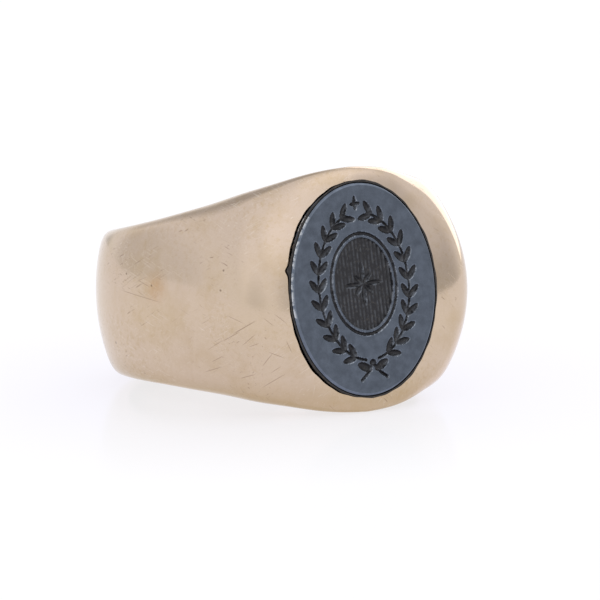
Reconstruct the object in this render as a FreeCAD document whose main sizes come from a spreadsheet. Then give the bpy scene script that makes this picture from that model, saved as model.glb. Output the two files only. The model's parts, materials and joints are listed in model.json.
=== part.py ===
import FreeCAD, Part
import math
import os
import re

import Sketcher
from FreeCAD import Placement, Rotation, Vector

# Gents' signet ring: a one-piece gold band that swells into an oval head, an oval
# hardstone tablet let into the head, and the dark setting cement that holds it.
#
# Each piece is drawn standing up: Z is the way the head faces, Y runs along the finger
# and X across it, with the finger's centre at the origin. Lengths are in millimetres.
# The finished pieces are then laid on the ring's side, the way a ring rests on a table.

DOC = FreeCAD.newDocument("SignetRing")

SIZES = {
    # Band, seen along the finger
    "bore_radius": 9.4,
    "back_radius": 11.25,
    "face_height": 12.3,
    "side_angle": 79.0,
    "corner_round": 4.0,
    # Band, seen from the side and in section
    "shank_half_width": 4.7,
    "head_half_width": 8.35,
    "flare_depth": 2.4,
    "shank_angle": 106.0,
    "crown_radius": 13.35,
    "edge_round": 0.6,
    # Stone and its seat
    "stone_length": 14.0,
    "stone_width": 11.1,
    "stone_thickness": 1.8,
    "stone_bevel": 0.28,
    "stone_proud": 0.08,
    "cement_gap": 0.13,
    "cement_bed": 0.1,
    "cement_sunk": 0.07,
    # Working allowances of the blanks before they are trimmed
    "blank_half_width": 8.7,
    "blank_foot": 6.5,
    "blank_overlap": 4.0,
    "arm_length": 15.0,
    "block_base": 3.0,
    "block_wall": 8.0,
    "blank_floor": 5.0,
    "outside": 20.0,
    # The tilt at which the laid ring touches the table at its head and its back
    "rest_tilt": 8.58,
}

SHEET = DOC.addObject("Spreadsheet::Sheet", "Sizes")
for row, (alias, length) in enumerate(SIZES.items(), start=1):
    SHEET.set(f"A{row}", alias.replace("_", " "))
    SHEET.set(f"B{row}", str(length))
    SHEET.setAlias(f"B{row}", alias)
DOC.recompute()

# A sketch's own origin and vertical axis, and which point of a line or arc is meant
ORIGIN = (-1, 1)
VERTICAL_AXIS = -2
START, END, CENTRE = 1, 2, 3
# Two places count as one within this distance
NEAR = 1e-3
# Height of the bottom of the stone's recess over the finger's centre
SEAT_FLOOR = "face_height + stone_proud - stone_thickness - cement_bed"


def size(expression):
    """Work out an expression of the sheet's aliases, as a plain number."""
    value = SHEET.evalExpression(expression)
    return float(getattr(value, "Value", value))


def qualified(expression):
    """Put the sheet's name before each alias, as expressions of other objects need."""
    return re.sub(r"[a-z_]+", lambda word: f"Sizes.{word[0]}" if word[0] in SIZES else word[0],
                  expression)


def new_body(label):
    """A body whose label names its file."""
    body = DOC.addObject("PartDesign::Body", label)
    body.Label = label
    return body


def origin_part(body, role):
    """The origin plane or axis of a body that plays this role, such as XY_Plane."""
    return next(part for part in body.Origin.OriginFeatures if part.Role == role)


def new_sketch(body, name, plane):
    """A sketch on one of its body's own origin planes."""
    sketch = body.newObject("Sketcher::SketchObject", name)
    sketch.AttachmentSupport = (origin_part(body, plane), "")
    sketch.MapMode = "FlatFace"
    return sketch


def bind(sketch, name, constraint, expression):
    """Add a constraint whose size follows an expression of the sheet."""
    index = sketch.addConstraint(constraint)
    sketch.renameConstraint(index, name)
    sketch.setExpression(f"Constraints.{name}", qualified(expression))


def place_point(sketch, name, geometry, end, across, up):
    """Hold a point at a positive or negative distance from the sketch's origin."""
    for axis, kind, expression in (("x", "DistanceX", across), ("y", "DistanceY", up)):
        value = size(expression)
        first, second = (ORIGIN, (geometry, end)) if value >= 0 else ((geometry, end), ORIGIN)
        if value < 0:
            expression = f"0 - ( {expression} )"
        bind(sketch, f"{name}_{axis}",
             Sketcher.Constraint(kind, *first, *second, abs(value)), expression)


def add_polygon(sketch, corners):
    """Draw a closed outline of lines; corners are pairs of expressions."""
    points = [Vector(size(across), size(up), 0) for across, up in corners]
    lines = [sketch.addGeometry(Part.LineSegment(point, points[(i + 1) % len(points)]), False)
             for i, point in enumerate(points)]
    for i, line in enumerate(lines):
        after = lines[(i + 1) % len(lines)]
        sketch.addConstraint(Sketcher.Constraint("Coincident", line, END, after, START))
    for i, (across, up) in enumerate(corners):
        place_point(sketch, f"corner{lines[i]}", lines[i], START, across, up)
    return lines


def add_ellipse(sketch, long_radius, short_radius):
    """Draw an ellipse about the origin, its long axis along the finger (sketch y)."""
    centre = Vector(0, 0, 0)
    ellipse = sketch.addGeometry(Part.Ellipse(
        Vector(0, size(long_radius), 0), Vector(-size(short_radius), 0, 0), centre), False)
    sketch.exposeInternalGeometry(ellipse)
    major_line, minor_line = ellipse + 1, ellipse + 2
    sketch.addConstraint(Sketcher.Constraint("Coincident", ellipse, CENTRE, *ORIGIN))
    sketch.addConstraint(Sketcher.Constraint("Vertical", major_line))
    bind(sketch, "long_axis", Sketcher.Constraint("Distance", major_line,
         2 * size(long_radius)), f"2 * ( {long_radius} )")
    bind(sketch, "short_axis", Sketcher.Constraint("Distance", minor_line,
         2 * size(short_radius)), f"2 * ( {short_radius} )")


def add_feature(body, kind, name, sketch, **settings):
    """Make a sketch-based feature and let the body end with it."""
    feature = body.newObject(f"PartDesign::{kind}", name)
    feature.Profile = sketch
    for key, value in settings.items():
        setattr(feature, key, value)
    body.Tip = feature
    DOC.recompute()
    return feature


def round_edges(body, name, radius, wanted, kind="Fillet"):
    """Round or bevel the edges of the body's last feature that pass the test."""
    base = body.Tip
    names = [f"Edge{i}" for i, edge in enumerate(base.Shape.Edges, start=1) if wanted(edge)]
    if not names:
        raise RuntimeError(f"{name}: no edge to work on")
    feature = body.newObject(f"PartDesign::{kind}", name)
    feature.Base = (base, names)
    key = "Radius" if kind == "Fillet" else "Size"
    setattr(feature, key, size(radius))
    feature.setExpression(key, qualified(radius))
    body.Tip = feature
    DOC.recompute()
    return feature


def along(edge, parts=(0.1, 0.5, 0.9)):
    """Points spread along an edge."""
    span = edge.LastParameter - edge.FirstParameter
    return [edge.valueAt(edge.FirstParameter + part * span) for part in parts]


def radial_sketch(body, name, angle):
    """A sketch in a plane through the finger's axis: sketch x along the finger,
    sketch y outwards, at an angle from the head's middle."""
    sketch = new_sketch(body, name, "YZ_Plane")
    turn = Rotation(Vector(1, 0, 0), size(angle))
    sketch.AttachmentOffset = Placement(Vector(0, 0, 0), turn)
    sketch.setExpression("AttachmentOffset.Rotation.Angle", qualified(angle))
    DOC.recompute()
    return sketch


def turn_about_finger(body, name, sketch, angle):
    """Turn a section about the finger's axis, towards the back of the band."""
    turned = add_feature(body, "Revolution", name, sketch, Angle=size(angle),
                         ReferenceAxis=(origin_part(body, "Y_Axis"), [""]))
    turned.setExpression("Angle", qualified(angle))
    return turned


def crown_arc(half):
    """The crowned top of a band section, from one side to the other."""
    crown, back = size("crown_radius"), size("back_radius")
    edge = back - crown + math.sqrt(crown ** 2 - half ** 2)
    return Part.Arc(Vector(half, edge, 0), Vector(0, back, 0), Vector(-half, edge, 0))


def hold_crown(sketch, crown):
    """Tie a crown arc to its radius and to the outside of the band."""
    sketch.addConstraint(Sketcher.Constraint("PointOnObject", crown, CENTRE, VERTICAL_AXIS))
    bind(sketch, "crown", Sketcher.Constraint("Radius", crown, size("crown_radius")),
         "crown_radius")
    drop = "crown_radius - back_radius"
    bind(sketch, "crown_centre", Sketcher.Constraint(
        "DistanceY", crown, CENTRE, *ORIGIN, size(drop)), drop)


def add_arms(body):
    """The straight sides of the band and their turn into the shank, as crowned blanks:
    one side, and its mirror image on the other side of the finger."""
    sketch = radial_sketch(body, "arm_section", "side_angle")
    half, foot = size("blank_half_width"), size("blank_foot")
    arc = crown_arc(half)
    edge = arc.StartPoint.y
    base, right, crown, left = sketch.addGeometry([
        Part.LineSegment(Vector(-half, foot, 0), Vector(half, foot, 0)),
        Part.LineSegment(Vector(half, foot, 0), Vector(half, edge, 0)),
        arc,
        Part.LineSegment(Vector(-half, edge, 0), Vector(-half, foot, 0)),
    ], False)
    for first, second in ((base, right), (right, crown), (crown, left), (left, base)):
        sketch.addConstraint(Sketcher.Constraint("Coincident", first, END, second, START))
    for line in (right, left):
        sketch.addConstraint(Sketcher.Constraint("Vertical", line))
    place_point(sketch, "foot_left", base, START, "0 - blank_half_width", "blank_foot")
    place_point(sketch, "foot_right", base, END, "blank_half_width", "blank_foot")
    hold_crown(sketch, crown)
    arm = add_feature(body, "Pad", "arm", sketch, Length=size("arm_length"), Reversed=True)
    arm.setExpression("Length", qualified("arm_length"))
    turn = "shank_angle + blank_overlap - side_angle"
    bend = turn_about_finger(body, "arm_bend", sketch, turn)
    mirror = body.newObject("PartDesign::Mirrored", "arm_opposite")
    mirror.Originals = [arm, bend]
    mirror.MirrorPlane = (origin_part(body, "YZ_Plane"), [""])
    body.Tip = mirror
    DOC.recompute()


def add_head_block(body):
    """The solid of the head, between the two arms."""
    sketch = new_sketch(body, "head_block_outline", "XZ_Plane")
    top = "face_height + blank_overlap"
    wall_top = "block_wall - ( face_height - block_base ) / tan(side_angle)"
    add_polygon(sketch, [
        ("0 - block_wall", "block_base"), ("block_wall", "block_base"),
        (wall_top, top), (f"0 - ( {wall_top} )", top),
    ])
    width = "2 * blank_half_width"
    block = add_feature(body, "Pad", "head_block", sketch, SideType="Symmetric",
                        Length=size(width))
    block.setExpression("Length", qualified(width))


def trim_to_side_outline(body):
    """Cut the blanks to the outline that the ring has from the side: a straight shank
    that curves out into the flare of the head, and the flat face."""
    sketch = new_sketch(body, "side_outline", "YZ_Plane")
    half, knee_depth = size("shank_half_width"), size("flare_depth")
    head, face, floor = size("head_half_width"), size("face_height"), size("blank_floor")
    rise, spread = face + knee_depth, head - half
    flare_radius = (rise ** 2 + spread ** 2) / (2 * spread)
    turn = math.asin(rise / flare_radius)

    def flip(point):
        return Vector(-point.x, point.y, 0)

    def arc(middle, first, last):
        return Part.ArcOfCircle(Part.Circle(middle, Vector(0, 0, 1), flare_radius), first, last)

    centre = Vector(half + flare_radius, -knee_depth, 0)
    foot, knee, brim = Vector(half, -floor, 0), Vector(half, -knee_depth, 0), Vector(head, face, 0)
    base, right, flare_right, top, flare_left, left = sketch.addGeometry([
        Part.LineSegment(flip(foot), foot),
        Part.LineSegment(foot, knee),
        arc(centre, math.pi - turn, math.pi),
        Part.LineSegment(brim, flip(brim)),
        arc(flip(centre), 0, turn),
        Part.LineSegment(flip(knee), flip(foot)),
    ], False)
    joins = [
        ("Coincident", base, END, right, START), ("Tangent", right, END, flare_right, END),
        ("Coincident", flare_right, START, top, START),
        ("Coincident", top, END, flare_left, END), ("Tangent", flare_left, START, left, START),
        ("Coincident", left, END, base, START), ("Vertical", right), ("Vertical", left),
    ]
    for join in joins:
        sketch.addConstraint(Sketcher.Constraint(*join))
    place_point(sketch, "foot_left", base, START, "0 - shank_half_width", "0 - blank_floor")
    place_point(sketch, "foot_right", base, END, "shank_half_width", "0 - blank_floor")
    place_point(sketch, "brim_right", top, START, "head_half_width", "face_height")
    place_point(sketch, "brim_left", top, END, "0 - head_half_width", "face_height")
    straight = "blank_floor - flare_depth"
    for side, line in (("right", right), ("left", left)):
        bind(sketch, f"straight_{side}", Sketcher.Constraint("Distance", line, size(straight)),
             straight)
    out = "outside"
    add_polygon(sketch, [(f"0 - {out}", f"0 - {out}"), (out, f"0 - {out}"),
                         (out, out), (f"0 - {out}", out)])
    add_feature(body, "Pocket", "side_trim", sketch, Type="ThroughAll", SideType="Symmetric")


def trim_to_shank(body):
    """Cut the blanks off square to the band, where the even width of the shank begins."""
    sketch = new_sketch(body, "shank_limits", "XZ_Plane")
    across = "outside * sin(shank_angle)"
    up = "outside * cos(shank_angle)"
    add_polygon(sketch, [("0", "0"), (across, up), ("outside", "0 - outside"),
                         ("0 - outside", "0 - outside"), (f"0 - {across}", up)])
    add_feature(body, "Pocket", "shank_clearance", sketch, Type="ThroughAll",
                SideType="Symmetric")


def add_shank(body):
    """The round of the shank: a crowned section with rounded edges, turned about the
    finger's axis from one arm, round the back, to the other."""
    sketch = radial_sketch(body, "shank_section", "shank_angle")
    half, foot, edge_round = size("shank_half_width"), size("blank_foot"), size("edge_round")
    crown, back = size("crown_radius"), size("back_radius")
    crown_centre = Vector(0, back - crown, 0)
    across = half - edge_round
    centre = Vector(across, crown_centre.y + math.sqrt((crown - edge_round) ** 2 - across ** 2), 0)
    lean = math.atan2(centre.y - crown_centre.y, across)

    def arc(middle, radius, first, last):
        return Part.ArcOfCircle(Part.Circle(middle, Vector(0, 0, 1), radius), first, last)

    base, right, round_right, top, round_left, left = sketch.addGeometry([
        Part.LineSegment(Vector(-half, foot, 0), Vector(half, foot, 0)),
        Part.LineSegment(Vector(half, foot, 0), Vector(half, centre.y, 0)),
        arc(centre, edge_round, 0, lean),
        arc(crown_centre, crown, lean, math.pi - lean),
        arc(Vector(-across, centre.y, 0), edge_round, math.pi - lean, math.pi),
        Part.LineSegment(Vector(-half, centre.y, 0), Vector(-half, foot, 0)),
    ], False)
    joins = [
        ("Coincident", base, END, right, START), ("Tangent", right, END, round_right, START),
        ("Tangent", round_right, END, top, START), ("Tangent", top, END, round_left, START),
        ("Tangent", round_left, END, left, START), ("Coincident", left, END, base, START),
        ("Vertical", right), ("Vertical", left), ("Equal", round_right, round_left),
    ]
    for join in joins:
        sketch.addConstraint(Sketcher.Constraint(*join))
    place_point(sketch, "foot_left", base, START, "0 - shank_half_width", "blank_foot")
    place_point(sketch, "foot_right", base, END, "shank_half_width", "blank_foot")
    bind(sketch, "edge_round", Sketcher.Constraint("Radius", round_right, edge_round),
         "edge_round")
    hold_crown(sketch, top)
    turn_about_finger(body, "shank", sketch, "360 - 2 * shank_angle")


def cut_bore(body):
    """The hole for the finger, right through the band."""
    sketch = new_sketch(body, "bore_circle", "XZ_Plane")
    radius = size("bore_radius")
    circle = sketch.addGeometry(Part.Circle(Vector(0, 0, 0), Vector(0, 0, 1), radius), False)
    sketch.addConstraint(Sketcher.Constraint("Coincident", circle, CENTRE, *ORIGIN))
    bind(sketch, "bore", Sketcher.Constraint("Radius", circle, radius), "bore_radius")
    add_feature(body, "Pocket", "finger_bore", sketch, Type="ThroughAll", SideType="Symmetric")


def oval_sketch(body, name, height, gap):
    """An oval like the stone's, larger all round by a gap, at a height above the
    finger's centre."""
    sketch = new_sketch(body, name, "XY_Plane")
    sketch.AttachmentOffset = Placement(Vector(0, 0, size(height)), Rotation())
    sketch.setExpression("AttachmentOffset.Base.z", qualified(height))
    add_ellipse(sketch, f"stone_length / 2 + {gap}", f"stone_width / 2 + {gap}")
    return sketch


def cut_seat(body):
    """The oval recess that the stone is let into."""
    sketch = oval_sketch(body, "seat_oval", SEAT_FLOOR, "cement_gap")
    depth = f"face_height + stone_proud - ( {SEAT_FLOOR} )"
    seat = add_feature(body, "Pocket", "stone_seat", sketch, Reversed=True, Length=size(depth))
    seat.setExpression("Length", qualified(depth))


def is_shoulder_edge(edge):
    """An edge between the face and the crowned outside of an arm."""
    face = size("face_height")
    points = along(edge)
    return all(abs(point.z - face) < NEAR and abs(point.x) > size("block_wall") / 2
               for point in points) and edge.Length > size("shank_half_width")


def is_outer_side_edge(edge):
    """An edge where a side of the band meets its outside, away from the bore."""
    inside = size("bore_radius") + size("edge_round") / 2
    narrow = size("shank_half_width - edge_round")
    return all(math.hypot(point.x, point.z) > inside and abs(point.y) > narrow
               for point in along(edge)) and not is_cut_end(edge)


def is_cut_end(edge):
    """An edge in the plane where a blank ends, past where the shank begins."""
    limit = math.radians(size("shank_angle") + 1)
    return all(math.atan2(abs(point.x), point.z) > limit for point in along(edge))


def make_ring_body():
    """The gold: shank, shoulders and head in one piece."""
    body = new_body("ring_body")
    add_arms(body)
    add_head_block(body)
    trim_to_side_outline(body)
    round_edges(body, "shoulder_rounds", "corner_round", is_shoulder_edge)
    round_edges(body, "outer_rounds", "edge_round", is_outer_side_edge)
    trim_to_shank(body)
    add_shank(body)
    cut_bore(body)
    cut_seat(body)
    return body


def make_stone():
    """The oval hardstone tablet, with a bevel round its face."""
    body = new_body("stone")
    sketch = oval_sketch(body, "stone_oval", f"{SEAT_FLOOR} + cement_bed", "0")
    tablet = add_feature(body, "Pad", "tablet", sketch, Length=size("stone_thickness"))
    tablet.setExpression("Length", qualified("stone_thickness"))
    face = size("face_height + stone_proud")
    round_edges(body, "face_bevel", "stone_bevel",
                lambda edge: all(abs(point.z - face) < NEAR for point in along(edge)),
                kind="Chamfer")
    return body


def make_setting_cement():
    """The dark cement that fills the seat under and round the stone."""
    body = new_body("setting_cement")
    sketch = oval_sketch(body, "filling_oval", SEAT_FLOOR, "cement_gap")
    depth = f"face_height - cement_sunk - ( {SEAT_FLOOR} )"
    filling = add_feature(body, "Pad", "filling", sketch, Length=size(depth))
    filling.setExpression("Length", qualified(depth))
    hollow = oval_sketch(body, "stone_print", f"{SEAT_FLOOR} + cement_bed", "0")
    print_ = add_feature(body, "Pocket", "stone_hollow", hollow, Reversed=True,
                         Length=size("stone_thickness"))
    print_.setExpression("Length", qualified("stone_thickness"))
    return body


def lay_on_side(bodies):
    """Turn the finger's axis upright, tilt the head up until the ring touches the
    table at head and back, and put the middle of its footprint at the origin."""
    turn = Rotation(Vector(1, 0, 0), 90 - size("rest_tilt"))
    laid = bodies[0].Shape.copy()
    laid.Placement = Placement(Vector(0, 0, 0), turn)
    box = laid.optimalBoundingBox(False, False)
    middle = Vector(box.Center.x, box.Center.y, box.ZMin)
    for body in bodies:
        body.Placement = Placement(-middle, turn)
    DOC.recompute()


def check(bodies):
    """Stop if any object failed or any piece is not one sound solid."""
    for item in DOC.Objects:
        if "Invalid" in item.State or "Error" in item.State:
            raise RuntimeError(f"{item.Name} failed: {item.State}")
    for body in bodies:
        shape = body.Shape
        if shape.isNull() or not shape.isValid() or len(shape.Solids) != 1:
            raise RuntimeError(f"{body.Label} is not one sound solid")


def main():
    """Build, lay down, check and export the pieces."""
    bodies = [make_ring_body(), make_stone(), make_setting_cement()]
    lay_on_side(bodies)
    check(bodies)
    os.makedirs("parts", exist_ok=True)
    for body in bodies:
        body.Shape.exportStep(f"parts/{body.Label}.step")
        box = body.Shape.BoundBox
        print(f"{body.Label}: {body.Shape.Volume:.1f} mm3, "
              f"{box.XLength:.2f} x {box.YLength:.2f} x {box.ZLength:.2f} mm")


main()
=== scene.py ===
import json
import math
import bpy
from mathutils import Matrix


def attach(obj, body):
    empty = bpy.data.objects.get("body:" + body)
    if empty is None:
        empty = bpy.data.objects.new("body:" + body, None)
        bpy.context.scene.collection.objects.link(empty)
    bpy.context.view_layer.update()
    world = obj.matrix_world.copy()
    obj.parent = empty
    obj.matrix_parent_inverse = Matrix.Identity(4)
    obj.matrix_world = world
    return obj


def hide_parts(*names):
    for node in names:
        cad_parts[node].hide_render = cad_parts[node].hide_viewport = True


bl_info = {
    "name": "Signet Ring",
    "version": (1, 0, 0),
    "blender": (4, 5, 0),
    "location": "3D View > Sidebar > Signet Ring",
    "description": "Dresses a gents' signet ring: polished gold, an engraved oval stone and its cement line",
    "category": "Object",
}

import bpy
import numpy as np
from bpy.props import FloatProperty, FloatVectorProperty, IntProperty, PointerProperty
from mathutils import Matrix, Vector

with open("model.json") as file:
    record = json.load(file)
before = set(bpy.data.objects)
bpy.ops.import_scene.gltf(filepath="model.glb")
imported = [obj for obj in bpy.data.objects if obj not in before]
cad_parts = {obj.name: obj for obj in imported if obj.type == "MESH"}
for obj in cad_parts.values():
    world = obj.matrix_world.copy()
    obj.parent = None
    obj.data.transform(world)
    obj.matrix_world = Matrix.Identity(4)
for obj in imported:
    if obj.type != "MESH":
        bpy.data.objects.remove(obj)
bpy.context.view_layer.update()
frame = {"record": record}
MOUNTS = {mount["name"]: mount for mount in frame["record"]["mounts"]}
BORE, SEAL = MOUNTS["finger_bore"], MOUNTS["seal_face"]
MM = 0.001

# The ring's own frame: X across the head, Y along the finger, Z the way the head faces,
# with the middle of the finger hole at its origin
FINGER = Vector(BORE["axis"])
FACING = Vector(SEAL["axis"])
ACROSS = FINGER.cross(FACING).normalized()
CENTRE = Vector(BORE["pos_m"])
RING_FRAME = Matrix.Translation(CENTRE) @ Matrix((ACROSS, FINGER, FACING)).transposed().to_4x4()
STONE_TOP = (Vector(SEAL["pos_m"]) - CENTRE).dot(FACING)
BORE_RADIUS = BORE["dims"]["r_mm"] * MM
# How far the solid's stone stands over the gold's face, and the cement under it
STONE_PROUD = 0.08 * MM
CEMENT_BED = 0.1 * MM
# The seat and the cement line wander together, so both ovals have this many sides
OVAL_SIDES = 720


def length(name, text, default):
    return FloatProperty(name=name, description=text, default=default, min=0.0,
                         subtype="DISTANCE", unit="LENGTH", precision=5)


def colour(name, text, default):
    return FloatVectorProperty(name=name, description=text, default=default, size=3,
                               min=0.0, max=1.0, subtype="COLOR")


def share(name, text, default, top=1.0):
    return FloatProperty(name=name, description=text, default=default, min=0.0, max=top,
                         subtype="FACTOR")


def angle(name, text, degrees):
    return FloatProperty(name=name, description=text, default=math.radians(degrees),
                         subtype="ANGLE", unit="ROTATION")


class SignetBand(bpy.types.PropertyGroup):
    back_radius: length("Outside radius", "Radius of the band's outside at the back", 11.244 * MM)
    face_height: length("Face height", "From the finger's middle to the head's face", 12.276 * MM)
    side_angle: angle("Side angle", "Where the straight sides meet the round shank", 78.86)
    shoulder_power: FloatProperty(
        name="Shoulder tightness", description="How tightly the shoulders turn into the face",
        default=8.0, min=2.0)
    shank_half_width: length("Shank half width", "Half the band's width at the back", 4.667 * MM)
    head_half_width: length("Head half width", "Half the head's width along the finger", 8.332 * MM)
    flare_power: FloatProperty(
        name="Flare power", description="How late the band flares out towards the head",
        default=3.4, min=1.0)
    even_flare: share("Even flare", "Share of the flare that widens evenly", 0.08)
    edge_power: FloatProperty(
        name="Edge tightness", description="How tightly the outside turns into the sides",
        default=11.2, min=2.0)
    shank_crown: length("Shank crown", "How far the shank's outside falls to its edges", 0.843 * MM)
    face_crown: length("Face crown", "How far the face falls to its edges", 0.172 * MM)
    shoulder_crown: length("Shoulder crown", "How much further the shoulders fall", 1.761 * MM)
    shoulder_angle: angle("Shoulder angle", "Where the shoulders fall most", 36.1)
    shoulder_spread: angle("Shoulder spread", "How far round that fall reaches", 19.9)
    stations: IntProperty(name="Stations", description="Sections round the band", default=256, min=32,
                          max=256)
    outline: IntProperty(name="Outline points", description="Points in each section", default=112, min=16)
    metal: colour("Gold", "Colour of the polished gold", (0.595, 0.478, 0.39))
    # Warmer gold for the lower band: painted bounce light from the table, also in random patches
    bounce_lit_metal: colour("Worn gold", "Its warmer colour where hands rub it", (0.62, 0.495, 0.37))
    # Colour of the dull film; near the table the same colour is also painted shade
    patina_and_shade: colour("Patina", "Colour of the dull film on the gold", (0.45, 0.32, 0.15))
    roughness: share("Roughness", "Roughness of the worn polish", 0.1)


class SignetStone(bpy.types.PropertyGroup):
    half_length: length("Half length", "Half the stone's size along the finger", 6.88 * MM)
    half_width: length("Half width", "Half the stone's size across the head", 5.4 * MM)
    thickness: length("Thickness", "Thickness of the tablet", 1.8 * MM)
    bevel: length("Bevel", "Width of the bevel round the face", 0.18 * MM)
    cut_depth: length("Cut depth", "Depth of the deepest engraving", 0.32 * MM)
    lean: angle("Lean", "How far the engraving leans off the finger's axis", 2.7)
    polish: colour("Polished stone", "Colour of the polished face", (0.145, 0.17, 0.218))
    frosted: colour("Cut stone", "Colour of the frosted cuts", (0.02, 0.02, 0.024))


class SignetCement(bpy.types.PropertyGroup):
    gap: length("Gap", "Width of the line round the stone", 0.11 * MM)
    sunk: length("Sunk", "How far the line lies below the face", 0.04 * MM)
    colour: colour("Cement", "Colour of the old setting cement", (0.02, 0.017, 0.016))


class SignetStage(bpy.types.PropertyGroup):
    turn: angle("Turn", "How far the view stands to the side of the head", 30.8)
    rise: angle("Rise", "How far the view looks down", 9.74)
    distance: length("Distance", "From the ring to the camera", 0.4333)
    aside: FloatProperty(name="Aside", description="Ring's place right of the view's middle",
                         default=-2.136 * MM, unit="LENGTH", precision=5)
    above: FloatProperty(name="Above", description="Ring's place above the view's middle",
                         default=0.652 * MM, unit="LENGTH", precision=5)
    lens: FloatProperty(name="Lens", description="Focal length in millimetres", default=396.6, min=1.0)
    floor: colour("Floor", "Colour of the glossy table", (0.975, 0.97, 0.985))
    light: colour("Light", "Colour of the soft light all round", (0.8, 0.8, 0.82))


# ---------------------------------------------------------------- helpers

def only(obj):
    """Select one object alone and make it active."""
    bpy.ops.object.select_all(action="DESELECT")
    obj.select_set(True)
    bpy.context.view_layer.objects.active = obj
    return obj


def started(name):
    """Name the primitive that was just added."""
    obj = bpy.context.active_object
    obj.name = name
    obj.data.name = name
    return only(obj)


def points_of(obj):
    flat = np.empty(len(obj.data.vertices) * 3)
    obj.data.vertices.foreach_get("co", flat)
    return flat.reshape(-1, 3)


def set_points(obj, points):
    obj.data.vertices.foreach_set("co", np.asarray(points, float).ravel())
    obj.data.update()


def seat_in_ring(obj):
    """Move a piece that was made in the ring's own frame to where the ring lies."""
    only(obj)
    obj.matrix_world = RING_FRAME
    bpy.ops.object.transform_apply(location=True, rotation=True, scale=True)


def finish_piece(obj, material, node):
    obj.data.materials.clear()
    obj.data.materials.append(material)
    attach(obj, "root")
    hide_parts(node)


def apply_modifiers(obj):
    only(obj)
    for modifier in list(obj.modifiers):
        bpy.ops.object.modifier_apply(modifier=modifier.name)


# ---------------------------------------------------------------- node materials

def new_material(name):
    material = bpy.data.materials.new(name)
    material.use_nodes = True
    tree = material.node_tree
    shader = tree.nodes["Principled BSDF"]
    return material, tree, shader


def add_node(tree, kind, settings=None, **inputs):
    node = tree.nodes.new(kind)
    for key, value in (settings or {}).items():
        setattr(node, key, value)
    for key, value in inputs.items():
        socket = node.inputs[key.replace("_", " ")]
        if isinstance(value, bpy.types.NodeSocket):
            tree.links.new(value, socket)
        else:
            socket.default_value = value
    return node


def math_node(tree, operation, first, second=None, third=None):
    node = tree.nodes.new("ShaderNodeMath")
    node.operation = operation
    for socket, value in zip(node.inputs, (first, second, third)):
        if value is None:
            continue
        if isinstance(value, bpy.types.NodeSocket):
            tree.links.new(value, socket)
        else:
            socket.default_value = value
    return node.outputs[0]


def mix_colours(tree, factor, first, second):
    node = tree.nodes.new("ShaderNodeMix")
    node.data_type = "RGBA"
    for index, value in ((0, factor), (6, first), (7, second)):
        if isinstance(value, bpy.types.NodeSocket):
            tree.links.new(value, node.inputs[index])
        elif index == 0:
            node.inputs[0].default_value = value
        else:
            node.inputs[index].default_value = (*value[:3], 1)
    return node.outputs[2]


def ramp(tree, value, low, high, start=0.0, end=1.0):
    """Map a value from one range to another, clamped."""
    node = tree.nodes.new("ShaderNodeMapRange")
    tree.links.new(value, node.inputs["Value"])
    for key, number in (("From Min", low), ("From Max", high), ("To Min", start), ("To Max", end)):
        node.inputs[key].default_value = number
    return node.outputs[0]


def noise(tree, place, scale, detail=3.0, roughness=0.5, distortion=0.0):
    node = add_node(tree, "ShaderNodeTexNoise", Vector=place, Scale=scale, Detail=detail,
                    Roughness=roughness, Distortion=distortion)
    return node.outputs["Fac"]


def stretched(tree, place, toward, stretch):
    """A place whose patterns run on further in one direction."""
    mapping = add_node(tree, "ShaderNodeMapping", {"vector_type": "TEXTURE"}, Vector=place)
    turn = Vector((0, 0, 1)).rotation_difference(Vector(toward))
    mapping.inputs["Rotation"].default_value = turn.to_euler()
    mapping.inputs["Scale"].default_value = (1, 1, stretch)
    return mapping.outputs[0]


def hairlines(tree, toward, stretch, scale, low, high):
    """Fine straight scratches that run in one direction, where the surface runs so too."""
    coordinates = add_node(tree, "ShaderNodeTexCoord")
    across = add_node(tree, "ShaderNodeVectorMath", {"operation": "DOT_PRODUCT"})
    tree.links.new(coordinates.outputs["Normal"], across.inputs[0])
    across.inputs[1].default_value = Vector(toward).normalized()
    lies_flat = ramp(tree, math_node(tree, "ABSOLUTE", across.outputs["Value"]), 0.3, 0.6, 1.0, 0.0)
    place = stretched(tree, coordinates.outputs["Object"], toward, stretch)
    lines = ramp(tree, noise(tree, place, scale, 2.0, 0.5, 0.25), low, high)
    return math_node(tree, "MULTIPLY", lies_flat, lines)


def scratch(tree, place, start, end, width):
    """One scratch between two places on the band, in the ring's own millimetres."""
    start, end = (RING_FRAME @ (Vector(point) * MM) for point in (start, end))
    middle, run = (start + end) / 2, end - start
    out = middle - CENTRE
    out = (out - out.project(FINGER) - out.project(run)).normalized()
    turned = Matrix((run.normalized(), out.cross(run).normalized(), out)).transposed()
    mapping = add_node(tree, "ShaderNodeMapping", {"vector_type": "TEXTURE"}, Vector=place)
    mapping.inputs["Location"].default_value = middle
    mapping.inputs["Rotation"].default_value = turned.to_euler()
    mapping.inputs["Scale"].default_value = (run.length / 2, width * MM / 2, 0.8 * MM)
    size = add_node(tree, "ShaderNodeVectorMath", {"operation": "ABSOLUTE"})
    tree.links.new(mapping.outputs[0], size.inputs[0])
    sides = add_node(tree, "ShaderNodeSeparateXYZ", Vector=size.outputs[0]).outputs
    far = math_node(tree, "MAXIMUM", sides[0], math_node(tree, "MAXIMUM", sides[1], sides[2]))
    return ramp(tree, far, 0.5, 1.0, 1.0, 0.0)


def spot(tree, place, at, radius, firm=0.4):
    """A round mark at a place on the band, in the ring's own millimetres."""
    mapping = add_node(tree, "ShaderNodeMapping", {"vector_type": "TEXTURE"}, Vector=place)
    mapping.inputs["Location"].default_value = RING_FRAME @ (Vector(at) * MM)
    mapping.inputs["Scale"].default_value = [radius * MM] * 3
    far = add_node(tree, "ShaderNodeVectorMath", {"operation": "LENGTH"})
    tree.links.new(mapping.outputs[0], far.inputs[0])
    return ramp(tree, far.outputs["Value"], firm, 1.0, 1.0, 0.0)


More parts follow.
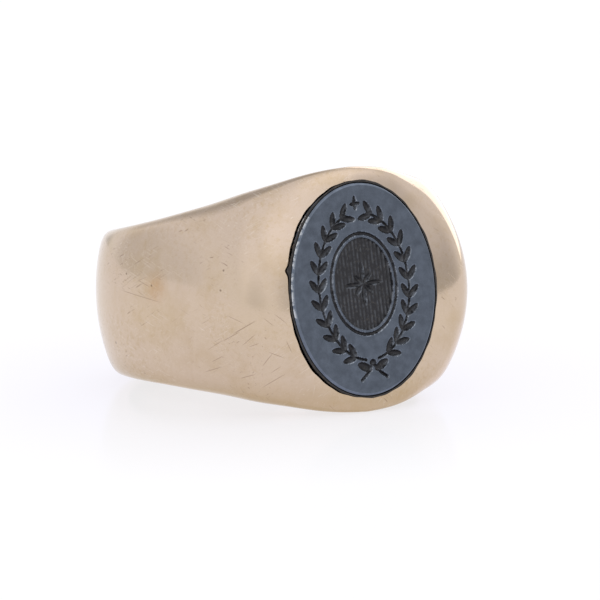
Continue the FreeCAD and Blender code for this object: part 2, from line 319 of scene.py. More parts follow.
def most_of(tree, values):
    """The largest of several values."""
    largest = values[0]
    for value in values[1:]:
        largest = math_node(tree, "MAXIMUM", largest, value)
    return largest


# Marks of wear on one side of the band, in the ring's own millimetres: deeper scratches
# with their widths, single pits, and a patch of warm tarnish
SCRATCHES = (
    ((-8.77, -2.13, 10.30), (-7.67, -1.33, 11.58), 0.08),
    ((-9.07, -2.55, 9.47), (-8.45, -1.96, 10.80), 0.06),
    ((-11.20, 1.00, 0.46), (-10.57, 0.09, 4.49), 0.05),
    ((-8.3, -2.9, 10.6), (-7.6, -2.2, 11.3), 0.05),
    ((-7.0, -3.4, 11.6), (-6.0, -3.9, 12.0), 0.05), ((-7.3, -4.3, 11.1), (-6.7, -3.5, 11.6), 0.05),
    ((-8.9, -0.9, 10.1), (-8.2, -1.5, 11.0), 0.04), ((-10.9, 1.6, 2.3), (-10.6, 1.1, 3.5), 0.05),
    ((-6.6, -1.0, 12.0), (-5.8, -1.7, 12.2), 0.04), ((-9.6, -3.9, 8.2), (-9.2, -3.5, 9.3), 0.05),
    ((-6.9, -5.7, 10.3), (-5.7, -4.9, 11.4), 0.05), ((-6.6, -4.8, 11.0), (-6.0, -4.4, 11.4), 0.04),
    ((-8.0, -3.0, 10.9), (-7.5, -2.8, 11.4), 0.05), ((-7.3, -1.2, 11.8), (-6.6, -1.8, 11.9), 0.04),
    ((-5.8, -2.8, 11.9), (-5.4, -3.6, 11.8), 0.05), ((-9.2, -4.5, 7.1), (-8.8, -4.2, 8.7), 0.05),
    ((-8.0, -5.0, 9.5), (-7.4, -4.8, 10.5), 0.05),
)
PITS = ((-11.05, 2.02, 1.16), (-10.69, 1.20, 3.69), (-9.19, 0.72, 9.93), (-8.93, 1.97, 10.07))
STAIN = (-10.6, 1.05, 4.1)


def gold_tint(tree, place, clouds, band):
    """Cooler gold above and warmer below, as painted bounce light from the table, with a dull film in
    patches and more of it near the table as painted shade.
    """
    height = add_node(tree, "ShaderNodeSeparateXYZ", Vector=place).outputs["Z"]
    film = noise(tree, place, 420.0, 5.0, 0.6)
    # Painted bounce light: warmer gold towards the table, mixed with random patches
    bounce_and_patches = math_node(tree, "ADD", ramp(tree, height, 12 * MM, 3 * MM),
                       ramp(tree, clouds, 0.3, 0.7, -0.35, 0.35))
    tint = mix_colours(tree, ramp(tree, bounce_and_patches, 0.0, 1.0), band.metal, band.bounce_lit_metal)
    ragged = math_node(tree, "ADD", height, math_node(tree, "MULTIPLY", film, 2 * MM))
    # A dull film in random patches, and more of it near the table as painted shade
    film_and_shade = math_node(tree, "ADD", ramp(tree, film, 0.48, 0.72, 0.0, 0.3),
                       ramp(tree, ragged, 2 * MM, 3.6 * MM, 0.42, 0.0))
    tint = mix_colours(tree, film_and_shade, tint, band.patina_and_shade)
    speckle = math_node(tree, "MULTIPLY", ramp(tree, noise(tree, place, 3200.0, 5.0, 0.7), 0.5, 0.68),
                        ramp(tree, noise(tree, place, 240.0, 3.0), 0.4, 0.62, 0.08, 0.4))
    return mix_colours(tree, speckle, tint, band.patina_and_shade)


def light_wear(tree, place):
    """Fine bright hairlines in four directions, in patches."""
    lines = most_of(tree, [
        hairlines(tree, (0.15, -0.9, -0.3), 30, 11000.0, 0.62, 0.7),
        hairlines(tree, (0.2, -0.75, 0.45), 24, 12000.0, 0.64, 0.72),
        hairlines(tree, (0.8, -0.2, 0.5), 20, 11000.0, 0.64, 0.72),
        hairlines(tree, (0.1, -0.2, 0.95), 16, 12000.0, 0.66, 0.74),
    ])
    return math_node(tree, "MULTIPLY", lines,
                     ramp(tree, noise(tree, place, 260.0, 2.0), 0.4, 0.6, 0.25, 1.0))


def dark_wear(tree, place):
    """Dark hairlines in patches, and the deeper single scratches."""
    lines = most_of(tree, [
        hairlines(tree, (0.19, -0.86, 0.5), 18, 8500.0, 0.66, 0.72),
        hairlines(tree, (0.19, -0.93, -0.3), 20, 9500.0, 0.66, 0.73),
        hairlines(tree, (0.7, 0.1, -0.6), 14, 9500.0, 0.68, 0.74),
    ])
    lines = math_node(tree, "MULTIPLY", lines, ramp(tree, noise(tree, place, 330.0, 2.0), 0.45, 0.58))
    return most_of(tree, [lines] + [scratch(tree, place, *line) for line in SCRATCHES])


def pitting(tree, place):
    """Small pits in patches, and the larger single ones."""
    cells = add_node(tree, "ShaderNodeTexVoronoi", Vector=place, Scale=620.0).outputs["Distance"]
    pits = math_node(tree, "MULTIPLY", ramp(tree, cells, 0.04, 0.08, 1.0, 0.0),
                     ramp(tree, noise(tree, place, 700.0, 1.0), 0.58, 0.62))
    return most_of(tree, [pits] + [spot(tree, place, at, 0.1) for at in PITS])


def gold_material(band):
    material, tree, shader = new_material("worn_gold")
    place = add_node(tree, "ShaderNodeTexCoord").outputs["Object"]
    clouds = noise(tree, place, 150.0, 4.0, 0.55)
    fine = noise(tree, place, 2400.0, 3.0, 0.6)
    light_lines, dark_lines = light_wear(tree, place), dark_wear(tree, place)
    pits = pitting(tree, place)
    stain = math_node(tree, "MULTIPLY", spot(tree, place, STAIN, 1.3, 0.0),
                      ramp(tree, fine, 0.3, 0.6, 0.3, 0.6))
    tint = mix_colours(tree, stain, gold_tint(tree, place, clouds, band), (0.5, 0.3, 0.14))
    for marks, strength, colour_of_marks in ((light_lines, 0.34, (0.85, 0.77, 0.69)),
                                             (dark_lines, 0.5, (0.22, 0.14, 0.09)),
                                             (pits, 0.6, (0.12, 0.07, 0.04))):
        tint = mix_colours(tree, math_node(tree, "MULTIPLY", marks, strength), tint, colour_of_marks)
    tree.links.new(tint, shader.inputs["Base Color"])
    shader.inputs["Metallic"].default_value = 1.0
    rough = ramp(tree, clouds, 0.3, 0.7, band.roughness - 0.03, band.roughness + 0.05)
    rough = math_node(tree, "ADD", rough, math_node(tree, "MULTIPLY", light_lines, 0.12))
    tree.links.new(rough, shader.inputs["Roughness"])
    relief = math_node(tree, "ADD", math_node(tree, "MULTIPLY", fine, 0.1),
                       math_node(tree, "MULTIPLY", clouds, 2.6))
    for lines, deep in ((light_lines, -0.45), (dark_lines, -0.8), (pits, -1.5)):
        relief = math_node(tree, "ADD", relief, math_node(tree, "MULTIPLY", lines, deep))
    bump = add_node(tree, "ShaderNodeBump", Height=relief, Strength=0.35, Distance=0.00002)
    tree.links.new(bump.outputs[0], shader.inputs["Normal"])
    return material


def stone_material(stone):
    material, tree, shader = new_material("engraved_haematite")
    place = add_node(tree, "ShaderNodeTexCoord").outputs["Object"]
    cut = add_node(tree, "ShaderNodeAttribute", {"attribute_name": "cut"}).outputs["Fac"]
    edge = add_node(tree, "ShaderNodeAttribute", {"attribute_name": "rim_highlight_edge"}).outputs["Fac"]
    mottle = noise(tree, place, 900.0, 5.0, 0.6)
    grain = noise(tree, place, 6000.0, 3.0, 0.6)
    painted_glint = add_node(tree, "ShaderNodeAttribute", {"attribute_name": "painted_glint"}).outputs["Fac"]
    blotch = noise(tree, place, 1500.0, 4.0, 0.65)
    polished = mix_colours(tree, ramp(tree, blotch, 0.35, 0.65),
                           [1.08 * part for part in stone.polish], [0.8 * part for part in stone.polish])
    dusty = mix_colours(tree, ramp(tree, grain, 0.55, 0.75), stone.frosted, (0.065, 0.06, 0.055))
    frosted = ramp(tree, cut, 0.02, 0.12)
    tint = mix_colours(tree, frosted, polished, dusty)
    broken = noise(tree, place, 2200.0, 4.0, 0.7)
    # Painted highlight on the cuts' walls, broken up by noise
    tint = mix_colours(tree, math_node(tree, "MULTIPLY", painted_glint, ramp(tree, broken, 0.42, 0.6)), tint,
                       (0.3, 0.33, 0.38))
    # Painted highlight: near-white chips along the left stretch of the rim, where the bevel catches the
    # light
    rim_highlight = math_node(tree, "MULTIPLY", edge, ramp(tree, broken, 0.44, 0.52))
    tint = mix_colours(tree, rim_highlight, tint, (0.8, 0.82, 0.85))
    tree.links.new(tint, shader.inputs["Base Color"])
    metal = ramp(tree, frosted, 0.0, 1.0, 1.0, 0.35)
    tree.links.new(metal, shader.inputs["Metallic"])
    rough = math_node(tree, "ADD", ramp(tree, mottle, 0.3, 0.7, 0.12, 0.2),
                      math_node(tree, "MULTIPLY", frosted, 0.35))
    tree.links.new(rough, shader.inputs["Roughness"])
    height = math_node(tree, "ADD", math_node(tree, "MULTIPLY", mottle, 0.4),
                       math_node(tree, "MULTIPLY", math_node(tree, "MULTIPLY", grain, frosted), 2.0))
    bump = add_node(tree, "ShaderNodeBump", Height=height, Strength=0.4, Distance=0.00002)
    tree.links.new(bump.outputs[0], shader.inputs["Normal"])
    return material


def cement_material(cement):
    material, tree, shader = new_material("old_cement")
    place = add_node(tree, "ShaderNodeTexCoord").outputs["Object"]
    lumps = noise(tree, place, 4000.0, 4.0, 0.65)
    tint = mix_colours(tree, ramp(tree, lumps, 0.5, 0.75), cement.colour, (0.09, 0.07, 0.055))
    tree.links.new(tint, shader.inputs["Base Color"])
    shader.inputs["Roughness"].default_value = 0.6
    bump = add_node(tree, "ShaderNodeBump", Height=lumps, Strength=0.6, Distance=0.00004)
    tree.links.new(bump.outputs[0], shader.inputs["Normal"])
    return material


# ---------------------------------------------------------------- the gold band

def band_reach(band, turn):
    """How far the outside's ridge lies from the finger's middle, at a turn from the head."""
    flat = np.maximum(np.cos(turn), 0.0) / band.face_height
    side = np.cos(np.maximum(band.side_angle - turn, 0.0)) / band.back_radius
    power = band.shoulder_power
    return (flat ** power + side ** power) ** (-1 / power)


def band_fall(band, turn):
    """How far the outside falls from its ridge to its edges."""
    late = (turn - band.shoulder_angle + math.radians(12)) / math.radians(5)
    blend = 1 / (1 + np.exp(np.minimum(late, 50)))
    swell = np.exp(-((turn - band.shoulder_angle) / band.shoulder_spread) ** 2)
    return (band.shank_crown + (band.face_crown - band.shank_crown) * blend
            + band.shoulder_crown * swell)


def band_half_width(band, turn, radius):
    """Half the band's width along the finger; it grows with the height towards the face."""
    back = band.back_radius
    share_up = np.maximum((radius * np.cos(turn) + back) / (band.face_height + back), 0.0)
    flare = (1 - band.even_flare) * share_up ** band.flare_power + band.even_flare * share_up
    return band.shank_half_width + (band.head_half_width - band.shank_half_width) * flare


def half_section(band, turn, steps=1200):
    """One half of a section: from the bore's middle, round the side, to the ridge.
    Gives the places along the finger and the distances from its axis."""
    top, fall = band_reach(band, turn), band_fall(band, turn)
    foot, edge_break = 8.8 * MM, 0.3 * MM
    brim = top - fall
    brim_width = band_half_width(band, turn, brim)
    foot_width = band_half_width(band, turn, foot)
    slope = (brim_width - foot_width) / (brim - foot)
    ray = np.linspace(math.pi / 2, 0, steps)
    out, up = np.sin(ray), np.cos(ray)
    side = foot_width / np.maximum(out - slope * up, 1e-6)
    bend = fall * (out / brim_width) ** 2
    rise = top - foot
    crown = 2 * rise / (up + np.sqrt(up ** 2 + 4 * bend * rise))
    power = band.edge_power
    reach = (crown ** -power + side ** -power) ** (-1 / power)
    along, radius = reach * out, foot + reach * up
    keep = radius > BORE_RADIUS + edge_break
    along, radius = along[keep], radius[keep]
    corner = np.linspace(0, math.pi / 2, 40)[1:]
    round_along = along[0] - edge_break + edge_break * np.cos(corner)
    round_radius = BORE_RADIUS + edge_break - edge_break * np.sin(corner)
    bore = np.linspace(round_along[-1], 0, 60)[1:]
    return (np.concatenate([bore[::-1], round_along[::-1], along]),
            np.concatenate([np.full(len(bore), BORE_RADIUS), round_radius[::-1], radius]))


def spread_points(along, radius, count):
    """Pick points along a half section, closer together where it turns sharply."""
    step = np.hypot(np.diff(along), np.diff(radius))
    heading = np.unwrap(np.arctan2(np.diff(radius), np.diff(along)))
    turning = np.abs(np.gradient(heading))
    weight = np.concatenate([[0], np.cumsum(step + 0.9 * MM * turning)])
    want = np.linspace(0, weight[-1], count)
    return np.interp(want, weight, along), np.interp(want, weight, radius)


def station_turns(band):
    """Turns from the head to each section, closer together round the shoulders."""
    fine = np.linspace(0, 2 * math.pi, 4001)
    off_head = np.minimum(fine, 2 * math.pi - fine)
    weight = 1 + 1.6 * np.exp(-((off_head - band.shoulder_angle) / math.radians(24)) ** 2)
    total = np.concatenate([[0], np.cumsum((weight[1:] + weight[:-1]) / 2)])
    want = np.arange(band.stations) * total[-1] / band.stations
    return np.interp(want, total, fine)


def shape_band(obj, band):
    """Bend a torus of stations and outline points into the ring's own form."""
    half = band.outline // 2 + 1
    turns = station_turns(band)
    places = np.empty((band.stations, band.outline, 3))
    for i, turn in enumerate(turns):
        off_head = min(turn, 2 * math.pi - turn)
        along, radius = spread_points(*half_section(band, off_head), half)
        along = np.concatenate([along, -along[-2:0:-1]])
        radius = np.concatenate([radius, radius[-2:0:-1]])
        places[i, :, 0] = radius * math.sin(turn)
        places[i, :, 1] = along
        places[i, :, 2] = radius * math.cos(turn)
    set_points(obj, places)


def uneven_seat(obj, stone):
    """Let the edge of the seat wander, with one nick, while the stone's own edge stays true."""
    nick_turn, nick_spread = 2.91, 0.035
    points = points_of(obj)
    across, along = points[:, 0] / stone.half_width, points[:, 1] / stone.half_length
    turn, oval = np.arctan2(along, across), np.maximum(np.hypot(across, along), 1e-9)
    wander = (0.2 * np.sin(5 * turn + 0.7) + 0.15 * np.sin(13 * turn + 2.1)
              + 0.12 * np.sin(31 * turn) - 0.2 * np.cos(turn)
              + 1.5 * np.exp(-((np.abs(turn) - nick_turn) / nick_spread) ** 2) * (turn > 0))
    spread = np.where(oval > 1, 1 + (oval - 1) * (1 + wander), oval) / oval
    points[:, :2] *= spread[:, None]
    set_points(obj, points)


def oval_cutter(name, half_width, half_length, bottom, top):
    bpy.ops.mesh.primitive_cylinder_add(vertices=OVAL_SIDES, radius=1.0, depth=1.0)
    cutter = started(name)
    cutter.scale = (half_width, half_length, top - bottom)
    cutter.location = (0, 0, (top + bottom) / 2)
    bpy.ops.object.transform_apply(location=True, rotation=True, scale=True)
    return cutter


class SIGNET_OT_band(bpy.types.Operator):
    """Make the gold band with its head, and cut the stone's seat into it"""
    bl_idname = "signet.band"
    bl_label = "Gold band"

    def execute(self, context):
        band, stone = context.scene.signet_band, context.scene.signet_stone
        gap = context.scene.signet_cement.gap
        bpy.ops.object.select_all(action="DESELECT")
        bpy.ops.mesh.primitive_torus_add(
            major_segments=band.stations, minor_segments=band.outline,
            major_radius=10 * MM, minor_radius=1 * MM, generate_uvs=True)
        ring = started("gold_band")
        shape_band(ring, band)
        bpy.ops.object.mode_set(mode="EDIT")
        bpy.ops.mesh.select_all(action="SELECT")
        bpy.ops.mesh.normals_make_consistent(inside=False)
        bpy.ops.object.mode_set(mode="OBJECT")
        bpy.ops.object.shade_smooth()
        floor = STONE_TOP - stone.thickness - CEMENT_BED
        cutter = oval_cutter("seat_cutter", stone.half_width + gap, stone.half_length + gap,
                             floor, STONE_TOP + 2 * MM)
        uneven_seat(cutter, stone)
        only(ring)
        seat = ring.modifiers.new("seat", "BOOLEAN")
        seat.object = cutter
        seat.solver = "EXACT"
        apply_modifiers(ring)
        bpy.data.objects.remove(cutter)
        bpy.ops.object.shade_smooth_by_angle(angle=math.radians(35))
        seat_in_ring(ring)
        finish_piece(ring, gold_material(band), "ring_body")
        return {"FINISHED"}


# ---------------------------------------------------------------- the engraved stone

def leaf_cut(cuts, x, y, place, heading, size, depth):
    """A pointed, bowl-shaped cut, as an engraver's wheel leaves it."""
    along = (x - place[0]) * math.cos(heading) + (y - place[1]) * math.sin(heading)
    aside = -(x - place[0]) * math.sin(heading) + (y - place[1]) * math.cos(heading)
    inside = 1 - np.abs(along / (size[0] / 2)) ** 1.7 - (aside / (size[1] / 2)) ** 2
    np.maximum(cuts, depth * np.sqrt(np.maximum(inside, 0)), out=cuts)


def line_cut(cuts, x, y, points, width, depth):
    """A narrow rounded groove along a run of points."""
    for (ax, ay), (bx, by) in zip(points[:-1], points[1:]):
        run = max((bx - ax) ** 2 + (by - ay) ** 2, 1e-12)
        share_along = np.clip(((x - ax) * (bx - ax) + (y - ay) * (by - ay)) / run, 0, 1)
        gap = np.hypot(x - ax - share_along * (bx - ax), y - ay - share_along * (by - ay))
        np.maximum(cuts, depth * np.sqrt(np.maximum(1 - (gap / (width / 2)) ** 2, 0)), out=cuts)


def oval_points(middle, half_width, half_length, start, end, count):
    turns = np.radians(np.linspace(start, end, count))
    return [(middle[0] + half_width * math.cos(t), middle[1] + half_length * math.sin(t))
            for t in turns]


def engrave(x, y):
    """Depth of the seal's cuts, as shares of the deepest, at places on the face in
    millimetres: a laurel wreath tied with a bow, round a hatched oval with a star."""
    heart = (0.0, 0.35)
    wreath_up, wreath_width, wreath_length = 0.2, 3.35, 4.75
    inner = ((x - heart[0]) / 2.15) ** 2 + ((y - heart[1]) / 2.95) ** 2
    hatch = 0.14 * (0.5 + 0.5 * np.cos(2 * math.pi * x / 0.27))
    cuts = np.where(inner < 1, 0.30 + hatch, 0.0)
    line_cut(cuts, x, y, oval_points(heart, 2.42, 3.24, 0, 360, 73), 0.20, 0.5)
    for i in range(8):
        heading = math.pi / 2 + i * math.pi / 4
        reach = 1.5 if i % 2 == 0 else 0.95
        place = (heart[0] + reach / 2 * math.cos(heading), heart[1] + reach / 2 * math.sin(heading))
        leaf_cut(cuts, x, y, place, heading, (reach, 0.34), 0.95)
    for side in (-1, 1):
        stem = [(side * px, py) for px, py in
                oval_points((0, wreath_up), wreath_width, wreath_length, -82, 76, 30)]
        line_cut(cuts, x, y, stem, 0.16, 0.55)
        for i in range(11):
            turn = math.radians(-70 + i * 14)
            at = (side * wreath_width * math.cos(turn), wreath_up + wreath_length * math.sin(turn))
            tangent = math.atan2(wreath_length * math.cos(turn), -wreath_width * math.sin(turn))
            tangent = tangent if side > 0 else math.pi - tangent
            for lean in (-0.62, 0.62):
                heading = tangent + lean
                place = (at[0] + 0.52 * math.cos(heading), at[1] + 0.52 * math.sin(heading))
                leaf_cut(cuts, x, y, place, heading, (1.08, 0.42), 0.8)
        leaf_cut(cuts, x, y, (side * 0.62, -4.95), math.radians(90 - side * 62), (1.15, 0.55), 0.8)
        line_cut(cuts, x, y, [(0, -4.75), (side * 0.5, -5.4), (side * 0.95, -5.75)], 0.2, 0.7)
    leaf_cut(cuts, x, y, (0, -4.72), 0, (0.5, 0.42), 0.9)
    leaf_cut(cuts, x, y, (0, 5.55), math.pi / 2, (0.95, 0.3), 0.9)
    leaf_cut(cuts, x, y, (0, 5.5), 0, (0.8, 0.28), 0.9)
    return cuts


def carve_face(tablet, stone):
    """Spread the grid over the oval face, sink the seal into it, mark its cuts and a painted highlight along
    their lower-right walls.
    """
    flat = points_of(tablet)
    across = (stone.half_width - stone.bevel) * flat[:, 0] * np.sqrt(1 - flat[:, 1] ** 2 / 2)
    along = (stone.half_length - stone.bevel) * flat[:, 1] * np.sqrt(1 - flat[:, 0] ** 2 / 2)
    lean = stone.lean
    x = (across * math.cos(lean) + along * math.sin(lean)) / MM
    y = (-across * math.sin(lean) + along * math.cos(lean)) / MM
    cuts = engrave(x, y)
    # Painted highlight: the cuts' lower-right walls, brightened as if they caught a light
    painted_glint = np.clip(2.5 * (engrave(x - 0.05, y + 0.05) - cuts), 0, 1)
    set_points(tablet, np.column_stack([across, along, STONE_TOP - stone.cut_depth * cuts]))
    for name, values in (("cut", cuts), ("painted_glint", painted_glint)):
        layer = tablet.data.attributes.new(name, "FLOAT", "POINT")
        layer.data.foreach_set("value", values.astype(np.float32))


def add_bevel_and_sides(tablet, stone):
    """Draw the face's rim out into the bevel, then down into the sides and the back."""
    only(tablet)
    bpy.ops.object.mode_set(mode="EDIT")
    bpy.ops.mesh.select_mode(type="EDGE")
    bpy.ops.mesh.select_all(action="SELECT")
    bpy.ops.mesh.region_to_loop()
    grow = (stone.half_width / (stone.half_width - stone.bevel),
            stone.half_length / (stone.half_length - stone.bevel), 1.0)
    bpy.ops.mesh.extrude_region_move(TRANSFORM_OT_translate={"value": (0, 0, -stone.bevel)})
    bpy.ops.transform.resize(value=grow, center_override=(0, 0, 0))
    fall = stone.bevel - stone.thickness
    bpy.ops.mesh.extrude_region_move(TRANSFORM_OT_translate={"value": (0, 0, fall)})
    bpy.ops.mesh.edge_face_add()
    bpy.ops.mesh.select_all(action="SELECT")
    bpy.ops.mesh.normals_make_consistent(inside=False)
    bpy.ops.object.mode_set(mode="OBJECT")


def mark_rim_highlight(tablet, stone):
    """Mark the stretch of the rim on the left that gets a painted highlight, as its bevel catching the
    light.
    """
    rim = points_of(tablet)
    worn = tablet.data.attributes.new("rim_highlight_edge", "FLOAT", "POINT")
    oval = np.hypot(rim[:, 0] / stone.half_width, rim[:, 1] / stone.half_length)
    # The left stretch of the rim that gets the painted highlight
    lit_stretch = (rim[:, 0] < -0.55 * stone.half_width) & (np.abs(rim[:, 1] - 1.7 * MM) < 3.3 * MM)
    near_rim = np.clip((oval - 0.978) / 0.012, 0, 1) * lit_stretch
    worn.data.foreach_set("value", near_rim.astype(np.float32))


class SIGNET_OT_stone(bpy.types.Operator):
    """Make the oval tablet and engrave its face"""
    bl_idname = "signet.stone"
    bl_label = "Engraved stone"

    def execute(self, context):
        stone = context.scene.signet_stone
        bpy.ops.object.select_all(action="DESELECT")
        bpy.ops.mesh.primitive_grid_add(x_subdivisions=250, y_subdivisions=310, size=2.0,
                                        location=(0, 0, 0))
        tablet = started("engraved_stone")
        carve_face(tablet, stone)
        add_bevel_and_sides(tablet, stone)
        mark_rim_highlight(tablet, stone)
        bpy.ops.object.shade_smooth_by_angle(angle=math.radians(50))
        seat_in_ring(tablet)
        finish_piece(tablet, stone_material(stone), "stone")
        return {"FINISHED"}


# ---------------------------------------------------------------- the cement line

class SIGNET_OT_cement(bpy.types.Operator):
    """Make the dark uneven line of cement round the stone"""
    bl_idname = "signet.cement"
    bl_label = "Cement line"

    def execute(self, context):
        stone, cement = context.scene.signet_stone, context.scene.signet_cement
        gap = cement.gap
        bpy.ops.object.select_all(action="DESELECT")
        top = STONE_TOP - STONE_PROUD - cement.sunk
        bpy.ops.mesh.primitive_circle_add(vertices=OVAL_SIDES, radius=1.0, location=(0, 0, top))
        line = started("cement_line")
        line.scale = (stone.half_width + gap, stone.half_length + gap, 1)
        bpy.ops.object.transform_apply(location=True, rotation=True, scale=True)
        bpy.ops.object.mode_set(mode="EDIT")
        bpy.ops.mesh.select_all(action="SELECT")
        steps = 4
        for step in range(1, steps + 1):
            reach = gap * (1 - step / steps)
            last = gap * (1 - (step - 1) / steps)
            shrink = ((stone.half_width + reach) / (stone.half_width + last),
                      (stone.half_length + reach) / (stone.half_length + last), 1)
            bpy.ops.mesh.extrude_region_move()
            bpy.ops.transform.resize(value=shrink, center_override=(0, 0, 0))
        depth = top - (STONE_TOP - stone.thickness)
        bpy.ops.mesh.extrude_region_move(TRANSFORM_OT_translate={"value": (0, 0, -depth)})
        bpy.ops.mesh.edge_face_add()
        bpy.ops.mesh.select_all(action="SELECT")
        bpy.ops.mesh.normals_make_consistent(inside=False)
        bpy.ops.object.mode_set(mode="OBJECT")
        uneven_seat(line, stone)
        bpy.ops.object.shade_smooth_by_angle(angle=math.radians(40))
        seat_in_ring(line)
        finish_piece(line, cement_material(cement), "setting_cement")
        return {"FINISHED"}


# ---------------------------------------------------------------- the stage

def floor_material(stage):
    """A pale gloss table: white as seen and as reflected, and it keeps the ring's shadow."""
    material, tree, shader = new_material("glossy_table")
    tree.nodes.remove(shader)
    matt = add_node(tree, "ShaderNodeBsdfDiffuse", Color=(0.24, 0.24, 0.24, 1))
    glow = add_node(tree, "ShaderNodeEmission", Color=(*stage.floor, 1), Strength=0.85)
    lit = add_node(tree, "ShaderNodeAddShader")
    tree.links.new(glow.outputs[0], lit.inputs[0])
    tree.links.new(matt.outputs[0], lit.inputs[1])
    plain = add_node(tree, "ShaderNodeBsdfDiffuse", Color=(*stage.floor, 1))
    ground = add_node(tree, "ShaderNodeMixShader", Fac=shown_ray(tree))
    tree.links.new(plain.outputs[0], ground.inputs[1])
    tree.links.new(lit.outputs[0], ground.inputs[2])
    gloss = add_node(tree, "ShaderNodeBsdfGlossy", Color=(0.7, 0.66, 1, 1), Roughness=0.16)
    away = add_node(tree, "ShaderNodeVectorMath", {"operation": "LENGTH"})
    tree.links.new(add_node(tree, "ShaderNodeTexCoord").outputs["Object"], away.inputs[0])
    polish = ramp(tree, away.outputs["Value"], 12 * MM, 34 * MM, 0.14, 0.03)
    blend = add_node(tree, "ShaderNodeMixShader", Fac=polish)
    tree.links.new(ground.outputs[0], blend.inputs[1])
    tree.links.new(gloss.outputs[0], blend.inputs[2])
    tree.links.new(blend.outputs[0], tree.nodes["Material Output"].inputs["Surface"])
    return material


def shown_ray(tree):
    """One for every ray that shows the background: seen, mirrored or through glass."""
    rays = add_node(tree, "ShaderNodeLightPath")
    mirrored = math_node(tree, "MAXIMUM", rays.outputs["Is Glossy Ray"],
                         rays.outputs["Is Transmission Ray"])
    return math_node(tree, "MAXIMUM", rays.outputs["Is Camera Ray"], mirrored)


def heading(turn, rise):
    """The direction at a turn from the head's front and a rise over the table."""
    turn, rise = math.radians(turn), math.radians(rise)
    return Vector((math.sin(turn) * math.cos(rise), -math.cos(turn) * math.cos(rise),
                   math.sin(rise)))


# How the studio differs from plain white as the metal mirrors it: the middle of each side
# by turn and rise, the angles where it starts to fade and where it ends, and its change
STUDIO_SIDES = (
    (50, -8, 18, 44, -0.38), (180, 52, 16, 34, -0.4), (-141, 4, 8, 22, -0.17),
    (-25, 38, 10, 42, 0.12), (35, 46, 10, 38, 0.3), (178, 0, 3, 9, -0.25),
    (-26, 1, 5, 26, -0.17),
)


def studio_world(stage):
    """Plain soft light, and a white background for every ray that shows it."""
    world = bpy.data.worlds.new("studio")
    world.use_nodes = True
    tree = world.node_tree
    plain = tree.nodes["Background"]
    plain.inputs["Color"].default_value = (*stage.light, 1)
    direction = add_node(tree, "ShaderNodeTexCoord").outputs["Generated"]
    change = 0.0
    for turn, rise, inner, outer, amount in STUDIO_SIDES:
        toward = add_node(tree, "ShaderNodeVectorMath", {"operation": "DOT_PRODUCT"})
        tree.links.new(direction, toward.inputs[0])
        toward.inputs[1].default_value = heading(turn, rise)
        side = ramp(tree, toward.outputs["Value"], math.cos(math.radians(outer)),
                    math.cos(math.radians(inner)), 0.0, amount)
        change = math_node(tree, "ADD", side, change)
    mirrored = add_node(tree, "ShaderNodeLightPath").outputs["Is Glossy Ray"]
    level = math_node(tree, "MULTIPLY_ADD", change, mirrored, 1.0)
    white = add_node(tree, "ShaderNodeBackground", Color=(1, 1, 1, 1), Strength=level)
    blend = add_node(tree, "ShaderNodeMixShader", Fac=shown_ray(tree))
    tree.links.new(plain.outputs[0], blend.inputs[1])
    tree.links.new(white.outputs[0], blend.inputs[2])
    tree.links.new(blend.outputs[0], tree.nodes["World Output"].inputs["Surface"])
    return world


def soft_light(name, toward, distance, size, level):
    """A soft white lamp that faces the ring; its level is its brightness as mirrored."""
    light = bpy.data.lights.new(name, "AREA")
    light.shape = "RECTANGLE"
    light.size, light.size_y = size
    light.energy = level * math.pi * size[0] * size[1]
    lamp = bpy.data.objects.new(name, light)
    bpy.context.scene.collection.objects.link(lamp)
    lamp.location = CENTRE + toward * distance
    lamp.rotation_euler = (-toward).to_track_quat("-Z", "Y").to_euler()
    lamp.visible_camera = False


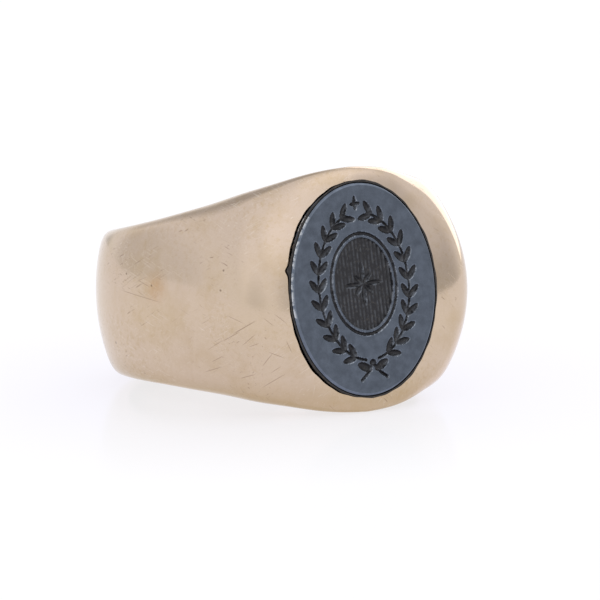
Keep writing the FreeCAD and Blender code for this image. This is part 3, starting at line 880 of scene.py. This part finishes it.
class SIGNET_OT_stage(bpy.types.Operator):
    """Lay the table, hang the lights and place the camera"""
    bl_idname = "signet.stage"
    bl_label = "Table, lights and camera"

    def execute(self, context):
        scene, stage = context.scene, context.scene.signet_stage
        bpy.ops.object.select_all(action="DESELECT")
        bpy.ops.mesh.primitive_plane_add(size=4.0, location=(0, 0, 0))
        table = started("table")
        table.data.materials.append(floor_material(stage))

        scene.world = studio_world(stage)
        soft_light("side_card", heading(120, 24), 1.0, (0.72, 0.84), 1.0)

        turn, rise = stage.turn, stage.rise
        right = Vector((math.cos(turn), -math.sin(turn), 0))
        up = Vector((math.sin(rise) * math.sin(turn), math.sin(rise) * math.cos(turn), math.cos(rise)))
        back = right.cross(up)
        camera = bpy.data.objects.new("camera", bpy.data.cameras.new("camera"))
        scene.collection.objects.link(camera)
        camera.matrix_world = Matrix.Translation(
            CENTRE - right * stage.aside - up * stage.above + back * stage.distance
        ) @ Matrix((right, up, back)).transposed().to_4x4()
        camera.data.sensor_width = 36
        camera.data.lens = stage.lens
        camera.data.clip_end = 100
        scene.camera = camera
        scene.view_settings.view_transform = "Standard"
        return {"FINISHED"}


class SIGNET_PT_panel(bpy.types.Panel):
    """Sizes, colours and steps of the signet ring"""
    bl_idname = "SIGNET_PT_panel"
    bl_label = "Signet Ring"
    bl_space_type = "VIEW_3D"
    bl_region_type = "UI"
    bl_category = "Signet Ring"

    def draw(self, context):
        layout = self.layout
        for name, operator in STEPS:
            group = getattr(context.scene, name)
            box = layout.box()
            for prop in group.bl_rna.properties:
                if prop.identifier not in ("rna_type", "name"):
                    box.prop(group, prop.identifier)
            box.operator(operator)


GROUPS = (
    ("signet_band", SignetBand), ("signet_stone", SignetStone),
    ("signet_cement", SignetCement), ("signet_stage", SignetStage),
)
STEPS = (
    ("signet_band", "signet.band"), ("signet_stone", "signet.stone"),
    ("signet_cement", "signet.cement"), ("signet_stage", "signet.stage"),
)
CLASSES = (
    SignetBand, SignetStone, SignetCement, SignetStage,
    SIGNET_OT_band, SIGNET_OT_stone, SIGNET_OT_cement, SIGNET_OT_stage, SIGNET_PT_panel,
)


def register():
    for item in CLASSES:
        bpy.utils.register_class(item)
    for name, group in GROUPS:
        setattr(bpy.types.Scene, name, PointerProperty(type=group))


def unregister():
    for name, group in reversed(GROUPS):
        delattr(bpy.types.Scene, name)
    for item in reversed(CLASSES):
        bpy.utils.unregister_class(item)


def main():
    register()
    bpy.ops.signet.band()
    bpy.ops.signet.stone()
    bpy.ops.signet.cement()
    bpy.ops.signet.stage()


if __name__ == "__main__":
    main()
